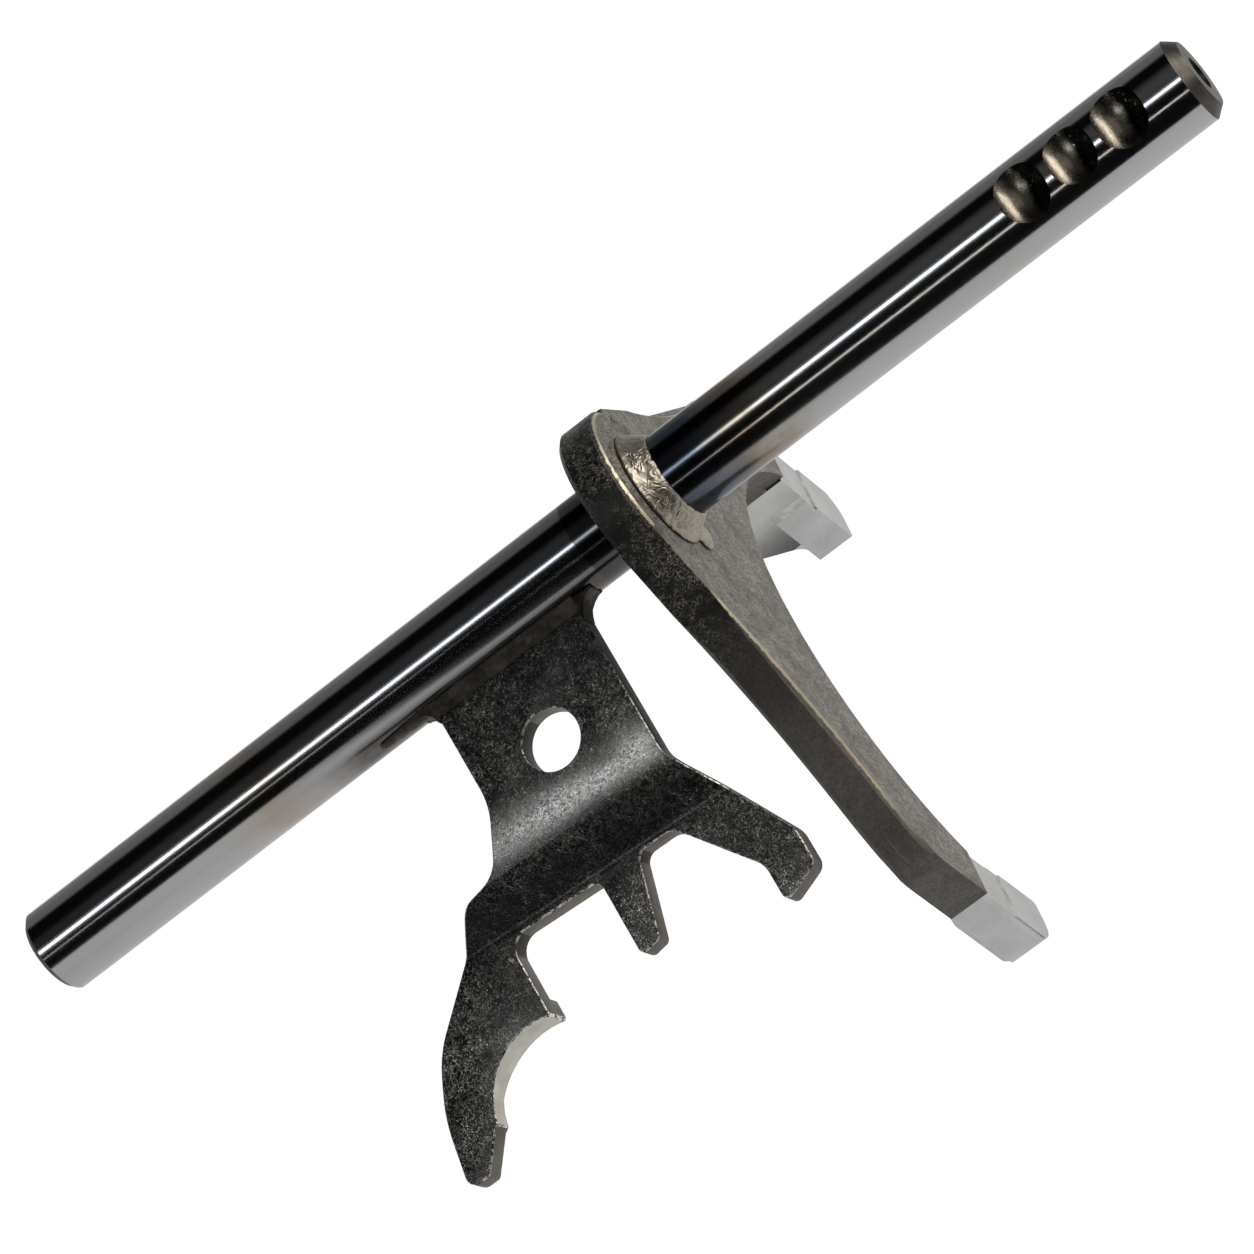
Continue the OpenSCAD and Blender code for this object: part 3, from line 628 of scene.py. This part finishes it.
# Gate plate. Thick steel plate, blanked, joggled over two bends and dark with scale. A notch, a tooth, a
# hook and a long leg with a machined hollow are cut in its far side for the shift finger. Its cut edges are
# a little paler, and the corners of its front are rubbed bright in spots.
GATE_BACK = Vector((0, math.sin(GATE_TILT), -math.cos(GATE_TILT)))
HOLLOW_X, HOLLOW_OUT, HOLLOW_R, HOLLOW_SKIN = -0.0641, 0.0765, 0.0131, 0.0004
NECK_TO, NECK_SLOPE = 0.052, 0.3
FACE_LEAN, FACE_BACK = 0.2, 0.6
CORNER_ROUND = 0.00025
gate = from_solid("gate_plate", "gate_plate_blank")

# Scaled face. The plate sags into its joggle, and a pale band is painted on it just before the bend as
# painted sheen; the joggle itself is painted dark as painted shade. The bends lie askew on the plate.
SCALE_DARK, SCALE_PALE = (0.15, 0.147, 0.141), (0.24, 0.235, 0.225)
PAINTED_SHEEN, PAINTED_JOGGLE_SHADE, WRINKLE_GLINT_PAINT = (0.52, 0.51, 0.49), (0.025, 0.025, 0.025), (0.90, 0.88, 0.84)
PAINTED_SHEEN_RISE, PAINTED_SHEEN_FALL, PAINTED_SHEEN_MOST = (0.0310, 0.0390), (0.0405, 0.0432), 0.9
JOGGLE_SHADE_RISE, JOGGLE_SHADE_FALL, JOGGLE_SHADE_MOST = (0.0412, 0.0440), (0.0500, 0.0560), 0.85
SAG_FROM, BEND_AT, DIP_TO = 0.02805, 0.04255, 0.04695
SAG_DEEP, DIP_DEEP = 0.00323, 0.00196
WRINKLE_HIGH, SPECK_HIGH = 0.00010, 0.00002
BEND_SKEW = math.radians(3.5)
across_bends = GATE_OUT * math.cos(BEND_SKEW) - Vector((math.sin(BEND_SKEW), 0, 0))

scaled = Finish("scaled_gate_face")
mottle = scaled.grain(0.006, detail=6, rough=0.68, twist=0.4)
wrinkle = scaled.worms(0.0011, 0.045, detail=2, twist=1.8)
speck = scaled.grain(0.0004, detail=3, twist=0.8)
from_rail = scaled.reach(across_bends)
skin = scaled.tint(scaled.span(mottle, 0.36, 0.66), SCALE_DARK, SCALE_PALE)
# Painted sheen: a pale band just before the bend.
skin = scaled.tint(scaled.band(from_rail, PAINTED_SHEEN_RISE, PAINTED_SHEEN_FALL, PAINTED_SHEEN_MOST), skin, PAINTED_SHEEN)
# Painted shade: the joggle is darkened.
joggle_shade = scaled.band(from_rail, JOGGLE_SHADE_RISE, JOGGLE_SHADE_FALL, JOGGLE_SHADE_MOST)
skin = scaled.tint(joggle_shade, skin, PAINTED_JOGGLE_SHADE)
# The wrinkles are raised by the bump; their bright colour is painted glint, and there are fewer of them in
# the joggle's painted shade.
patchy_glints = scaled.times(
    wrinkle, scaled.span(mottle, 0.42, 0.60, 0.25, 1.0), scaled.span(joggle_shade, 0, JOGGLE_SHADE_MOST, 1, 0.25))
scaled.paint(scaled.tint(patchy_glints, skin, WRINKLE_GLINT_PAINT))
scaled.roughen(speck, 0.24, 0.32)
sag = scaled.span(from_rail, SAG_FROM, BEND_AT)
dip = scaled.span(from_rail, BEND_AT, DIP_TO)
levelling = scaled.reckon("SUBTRACT", dip, scaled.times(dip, dip, 0.5))
bend = scaled.plus(scaled.times(sag, sag, -SAG_DEEP), scaled.times(levelling, -DIP_DEEP))
relief = scaled.plus(scaled.times(wrinkle, WRINKLE_HIGH), scaled.times(speck, SPECK_HIGH))
scaled.emboss(scaled.plus(bend, relief), 1.0)

# Cut edges. They are paler than the face, except on the neck beside the fork, which faces the fork and is
# painted dark as painted shade.
CUT_PALE, CUT_STAINED = (0.19, 0.175, 0.155), (0.12, 0.11, 0.098)
SHADED_EDGE_DARK, SHADED_EDGE_PALE = (0.035, 0.033, 0.030), (0.065, 0.060, 0.054)
CUT_RELIEF = 0.00005
sheared = Finish("sheared_gate_edge")
drag = sheared.grain(0.0008, detail=5, rough=0.65, twist=0.5)
stain = sheared.grain(0.004)
sheared.paint(sheared.tint(sheared.span(stain, 0.35, 0.7), CUT_PALE, CUT_STAINED))
sheared.roughen(drag, 0.36, 0.52)
sheared.emboss(drag, CUT_RELIEF)

shaded = Finish("shade_painted_gate_edge")
shaded_edge_grain = shaded.grain(0.0009, detail=5, rough=0.65, twist=0.5)
# Painted shade: the neck's edge beside the fork is darkened.
shaded.paint(shaded.tint(shaded.span(shaded_edge_grain, 0.35, 0.7), SHADED_EDGE_DARK, SHADED_EDGE_PALE))
shaded.roughen(shaded_edge_grain, 0.36, 0.52)
shaded.emboss(shaded_edge_grain, CUT_RELIEF)

# Corners rubbed down to bright steel in spots, and the hollow, which is machined.
CORNER_SCALE, CORNER_BRIGHT = (0.075, 0.071, 0.066), (0.90, 0.88, 0.84)
spotted = Finish("rubbed_gate_corner")
nibble = spotted.grain(0.0007, detail=3, twist=0.8)
spotted.paint(spotted.tint(spotted.span(nibble, 0.45, 0.54), CORNER_SCALE, CORNER_BRIGHT))
spotted.roughen(nibble, 0.42, 0.26, 0.4, 0.65)
spotted.emboss(nibble, CUT_RELIEF)

HOLLOW_PALE, HOLLOW_GREY = (0.66, 0.64, 0.58), (0.52, 0.50, 0.45)
hollowed = Finish("machined_gate_hollow")
sweep = hollowed.grain(0.0002, (30, 30, 1), detail=2, rough=0.5)
cloud = hollowed.grain(0.003)
hollowed.paint(hollowed.tint(hollowed.span(cloud, 0.35, 0.7), HOLLOW_PALE, HOLLOW_GREY))
hollowed.roughen(sweep, 0.28, 0.40)

SCALED, SHEARED, SPOTTED, HOLLOWED, SHADED = range(5)


def gate_finish(face):
    """Which finish a face of the gate plate has, by its place and the way it looks."""
    middle, n = face.center, face.normal
    out = middle.dot(GATE_OUT)
    off_hollow = math.hypot(middle.x - HOLLOW_X, out - HOLLOW_OUT) - HOLLOW_R
    if abs(n.x) < FACE_LEAN and abs(n.dot(GATE_BACK)) > FACE_BACK:
        return SCALED
    if abs(off_hollow) < HOLLOW_SKIN:
        return HOLLOWED
    if n.x > NECK_SLOPE and out < NECK_TO:
        return SHADED
    return SHEARED


dress(gate, (scaled, sheared, spotted, hollowed, shaded), gate_finish)
soften = gate.modifiers.new("worn_edges", "BEVEL")
soften.limit_method, soften.angle_limit = "ANGLE", math.radians(40)
soften.width, soften.segments, soften.use_clamp_overlap = CORNER_ROUND, 3, False
soften.material = SPOTTED
apply_all(gate)
bpy.ops.object.shade_smooth_by_angle(angle=math.radians(35))
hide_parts("gate_plate")
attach(gate, "root")

# Gate welds. One fillet along the front of the plate, which runs out along the rail at both ends, and one
# along its back. Both are left as welded, dull and brown.
SEAM_SKIN, SEAM_PASSES, SEAM_SWELL, SEAM_LEVEL = 0.00022, 5, 0.0002, 0.5
SEAM_BROWN, SEAM_SOOT = (0.105, 0.092, 0.076), (0.045, 0.040, 0.035)
fumed = Finish("dull_weld")
lump = fumed.grain(0.0016, detail=5, rough=0.65, twist=0.8)
soot = fumed.grain(0.004, detail=5, rough=0.65)
fumed.paint(fumed.tint(fumed.span(soot, 0.36, 0.68), SEAM_BROWN, SEAM_SOOT))
fumed.roughen(lump, 0.40, 0.60)
fumed.emboss(lump, 0.00014)
for node, name in (("front_seam", "gate_weld_front"), ("back_seam", "gate_weld_back")):
    seam = lay_weld(node, name, SEAM_SKIN, SEAM_PASSES, SEAM_SWELL, SEAM_LEVEL)
    seam.data.materials.append(fumed.material)
    bpy.ops.object.shade_smooth()
    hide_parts(node)
    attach(seam, "root")

# Studio floor. A wide white sheet well below the part. It shows white to the camera and grey in the metal,
# and still takes the part's shadow.
FLOOR_WIDE, FLOOR_Z = 12, -0.30
PAPER_WHITE, PAPER_SEEN, PAPER_IN_METAL = (0.80, 0.80, 0.80), 0.86, 0.46
let_go()
bpy.ops.mesh.primitive_plane_add(size=FLOOR_WIDE, location=(0, 0, FLOOR_Z))
floor = bpy.context.object
floor.name = "studio_floor"


def flat_finish(name, colour, roughness, glow=0.0):
    """A dull finish of one colour, with no shine and a white glow of its own."""
    finish = Finish(name, metal=False)
    finish.shader.inputs["Base Color"].default_value = (*colour, 1)
    finish.shader.inputs["Roughness"].default_value = roughness
    finish.shader.inputs["Specular IOR Level"].default_value = 0.0
    finish.shader.inputs["Emission Color"].default_value = (1, 1, 1, 1)
    finish.shader.inputs["Emission Strength"].default_value = glow
    return finish


sheet = flat_finish("white_sheet", PAPER_WHITE, 0.9)
ray = sheet.nodes.new("ShaderNodeLightPath").outputs
in_metal = sheet.reckon("MAXIMUM", ray["Is Glossy Ray"], ray["Is Transmission Ray"])
seen = sheet.times(ray["Is Camera Ray"], PAPER_SEEN)
sheet.join(sheet.reckon("MAXIMUM", seen, sheet.times(in_metal, PAPER_IN_METAL)), "Emission Strength")
floor.data.materials.append(sheet.material)

# Studio air. White behind the part for the camera; for the metal it is a grey wall with a dark ceiling that
# has a faint glow overhead.
AIR = ((0.0, 0.20), (0.50, 0.17), (0.62, 0.003), (0.90, 0.004), (0.955, 0.045), (1.0, 0.085))
AIR_TINT = (0.98, 0.99, 1.0)
world = bpy.data.worlds.new("studio_air")
bpy.context.scene.world = world
world.use_nodes = True
nodes, links = world.node_tree.nodes, world.node_tree.links
height = nodes.new("ShaderNodeSeparateXYZ")
links.new(nodes.new("ShaderNodeTexCoord").outputs["Generated"], height.inputs[0])
wall = nodes.new("ShaderNodeValToRGB")
set_stops(wall.color_ramp, [(place, [level * share for share in AIR_TINT]) for place, level in AIR])
links.new(height.outputs["Z"], wall.inputs["Fac"])
behind = nodes.new("ShaderNodeMix")
behind.data_type = "RGBA"
links.new(nodes.new("ShaderNodeLightPath").outputs["Is Camera Ray"], behind.inputs[0])
links.new(wall.outputs["Color"], behind.inputs[6])
behind.inputs[7].default_value = (1, 1, 1, 1)
links.new(behind.outputs[2], nodes["Background"].inputs["Color"])
nodes["Background"].inputs["Strength"].default_value = 1.0

# Flags and cards. Flat cards round the bench that only show in the metal. Three black flags keep the dark
# bands on the rail beside the lamp's streak, the pale card lights its side towards the plain end, and the
# grey card behind the bench dims its upper outline. Each has its corners as X and Z.
FLAGS_Y, HIGH_FLAG_Y, CARD_Y, BACK_CARD_Y = -0.90, -0.91, -0.95, 0.75
FLAG = ((-0.29, -0.06), (-0.12, -0.26), (-0.12, 0.75), (-0.49, 0.75))
WIDE_FLAG = ((-0.12, -0.26), (1.50, -0.26), (1.50, 0.75), (-0.12, 0.75))
HIGH_FLAG = ((-0.85, 0.32), (-0.36, 0.32), (-0.36, 0.75), (-0.85, 0.75))
CARD = ((-1.60, -0.26), (0.10, -0.26), (0.10, 0.29), (-1.60, 0.29))
BACK_CARD = ((-1.60, -0.29), (1.20, -0.29), (1.20, 0.05), (-1.60, 0.05))
FELT, BOARD = (0.01, 0.01, 0.011), (0.3, 0.3, 0.3)
PALE_GLOW, GREY_GLOW = 0.55, 0.16


def stand_card(name, away, corners, finish):
    """A flat card that stands before or behind the bench, seen by the metal only."""
    let_go()
    bpy.ops.mesh.primitive_plane_add(size=1, location=(0, away, 0), rotation=(math.radians(90), 0, 0))
    card = bpy.context.object
    card.name = name
    bpy.ops.object.transform_apply(location=True, rotation=True, scale=True)
    for vert in card.data.vertices:
        right, top = vert.co.x > 0, vert.co.z > 0
        x, z = corners[2 if right and top else 3 if top else 1 if right else 0]
        vert.co = (x, away, z)
    card.visible_camera = card.visible_diffuse = card.visible_shadow = card.visible_transmission = False
    card.data.materials.append(finish.material)


felt = flat_finish("black_felt", FELT, 1.0)
stand_card("black_flag", FLAGS_Y, FLAG, felt)
stand_card("wide_black_flag", FLAGS_Y, WIDE_FLAG, felt)
stand_card("high_black_flag", HIGH_FLAG_Y, HIGH_FLAG, felt)
cards = (("pale_card", CARD_Y, CARD, PALE_GLOW), ("grey_card", BACK_CARD_Y, BACK_CARD, GREY_GLOW))
for name, away, corners, glow in cards:
    stand_card(name, away, corners, flat_finish(name + "_board", BOARD, 0.9, glow))

# Lamps. A long strip hung askew over the bench draws the rail's white streak, and a wider bluish one in the
# same place its soft border. Two short lamps lower down draw the thin lines on the rail, and a side lamp and
# a top box light the rough faces.
STRIP_X, STRIP_OFF, STRIP_LEN = -0.335, 1.2, 0.84
STRIP_TURN, STRIP_ASKEW = math.radians(114.4), math.radians(23)
STRIP_TALL, STRIP_POWER, STRIP_WHITE = 0.13, 1.20, (0.95, 0.98, 1.0)
HALO_TALL, HALO_POWER, HALO_BLUE = 0.34, 0.150, (0.75, 0.87, 1.0)
LINE_TALL = 0.035
WARM, TOP_WARM = (1.0, 0.95, 0.88), (1.0, 0.96, 0.90)
PART_MIDDLE = (-0.01, -0.01, -0.02)


def lamp(name, place, wide, tall, power, colour, askew=0.0, target=PART_MIDDLE):
    """A soft rectangular lamp that faces its target, turned about its own axis by askew."""
    light = bpy.data.lights.new(name, "AREA")
    light.shape, light.size, light.size_y = "RECTANGLE", wide, tall
    light.energy, light.color = power, colour
    stand = bpy.data.objects.new(name, light)
    bpy.context.scene.collection.objects.link(stand)
    stand.location = place
    facing = (Vector(target) - Vector(place)).to_track_quat("-Z", "Y").to_matrix()
    stand.rotation_euler = (facing @ Matrix.Rotation(askew, 3, "Z")).to_euler()


def round_rail(x, turn, off):
    """A place off metres from the rail's axis, turned about it from the back of the bench."""
    return (x, off * math.cos(turn), off * math.sin(turn))


strip_at = round_rail(STRIP_X, STRIP_TURN, STRIP_OFF)
lamp("strip_lamp", strip_at, STRIP_LEN, STRIP_TALL, STRIP_POWER, STRIP_WHITE, STRIP_ASKEW)
lamp("strip_halo", strip_at, STRIP_LEN, HALO_TALL, HALO_POWER, HALO_BLUE, STRIP_ASKEW)
left_at = round_rail(x=-0.54, turn=math.radians(132), off=1.2)
lamp(
    "left_line_lamp", left_at, wide=0.26, tall=LINE_TALL, power=0.030, colour=WARM,
    target=(left_at[0], 0, 0))
right_at = round_rail(x=-0.11, turn=math.radians(149), off=0.95)
lamp(
    "right_line_lamp", right_at, wide=0.24, tall=LINE_TALL, power=0.070, colour=WARM,
    target=(right_at[0], 0, 0))
lamp("side_lamp", (1.0, 0.22, 0.39), wide=0.75, tall=0.50, power=5.0, colour=WARM)
lamp("top_box", (0.65, -0.1, 1.0), wide=0.60, tall=0.60, power=0.40, colour=TOP_WARM)

# Camera. It stands at the photograph's angle and distance, with its right, up and back as directions in the
# frame, and a long lens.
EYE_AT = (0.23765, -0.64403, 0.69963)
EYE_RIGHT, EYE_UP = (0.76909, -0.31645, -0.55530), (0.58542, 0.69745, 0.41334)
EYE_BACK = (0.25648, -0.64298, 0.72166)
eye = bpy.data.cameras.new("photo_camera")
eye.sensor_width, eye.lens = 36.0, 166.51
eye.clip_start, eye.clip_end = 0.05, 50
camera = bpy.data.objects.new("photo_camera", eye)
bpy.context.scene.collection.objects.link(camera)
rows = [list(row) for row in zip(EYE_RIGHT, EYE_UP, EYE_BACK, EYE_AT)]
camera.matrix_world = Matrix((*rows, (0, 0, 0, 1)))
bpy.context.scene.camera = camera
bpy.context.scene.view_settings.view_transform = "Standard"
